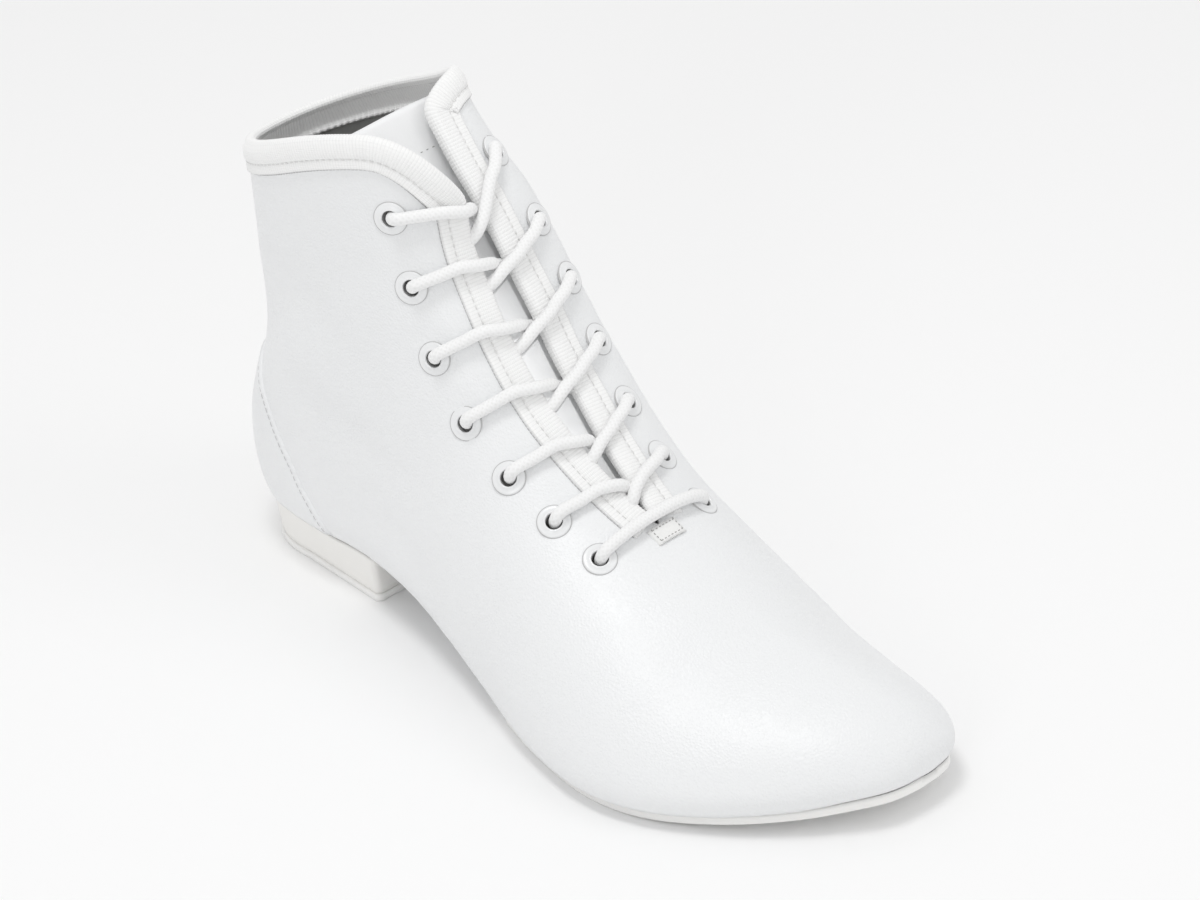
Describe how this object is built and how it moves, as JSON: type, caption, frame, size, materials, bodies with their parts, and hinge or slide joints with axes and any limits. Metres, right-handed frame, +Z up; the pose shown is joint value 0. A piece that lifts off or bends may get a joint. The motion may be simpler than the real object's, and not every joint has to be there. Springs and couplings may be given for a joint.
{
  "type": "dance boot",
  "caption": "Split-sole lace-up dance boot for the right foot in white leather, with a thin forefoot sole, a low heel and ribbed tape round collar and throat",
  "frame": {"origin": "on the floor, under the middle of the boot's bounding box", "axes": "+X from the heel to the toe, +Y to the medial (inner) side, +Z up"},
  "size_m": [0.2584, 0.1006, 0.1597],
  "materials": {
    "leather": "fine pebbled grain, satin",
    "tongue_leather": "smooth, satin",
    "tape": "ribbed, matte",
    "insole_cloth": "matte",
    "sole_rubber": "matte",
    "lift_rubber": "matte",
    "eyelet_paint": "gloss white",
    "lace_cord": "woven, matte"
  },
  "bodies": {
    "root": {"upper": "leather", "heel_counter": "leather", "binding": "tape", "throat_tab": "tape", "tongue": "tongue_leather", "insole": "insole_cloth", "forefoot_sole": "sole_rubber", "heel_block": "sole_rubber", "heel_lift": "lift_rubber", "eyelet_lateral_1": "eyelet_paint", "eyelet_lateral_2": "eyelet_paint", "eyelet_lateral_3": "eyelet_paint", "eyelet_lateral_4": "eyelet_paint", "eyelet_lateral_5": "eyelet_paint", "eyelet_lateral_6": "eyelet_paint", "eyelet_lateral_7": "eyelet_paint", "eyelet_medial_1": "eyelet_paint", "eyelet_medial_2": "eyelet_paint", "eyelet_medial_3": "eyelet_paint", "eyelet_medial_4": "eyelet_paint", "eyelet_medial_5": "eyelet_paint", "eyelet_medial_6": "eyelet_paint", "eyelet_medial_7": "eyelet_paint", "lace_crossing_1": "lace_cord", "lace_crossing_2": "lace_cord", "lace_crossing_3": "lace_cord", "lace_crossing_4": "lace_cord", "lace_crossing_5": "lace_cord", "lace_crossing_6": "lace_cord", "lace_bar": "lace_cord"}
  },
  "joints": []
}
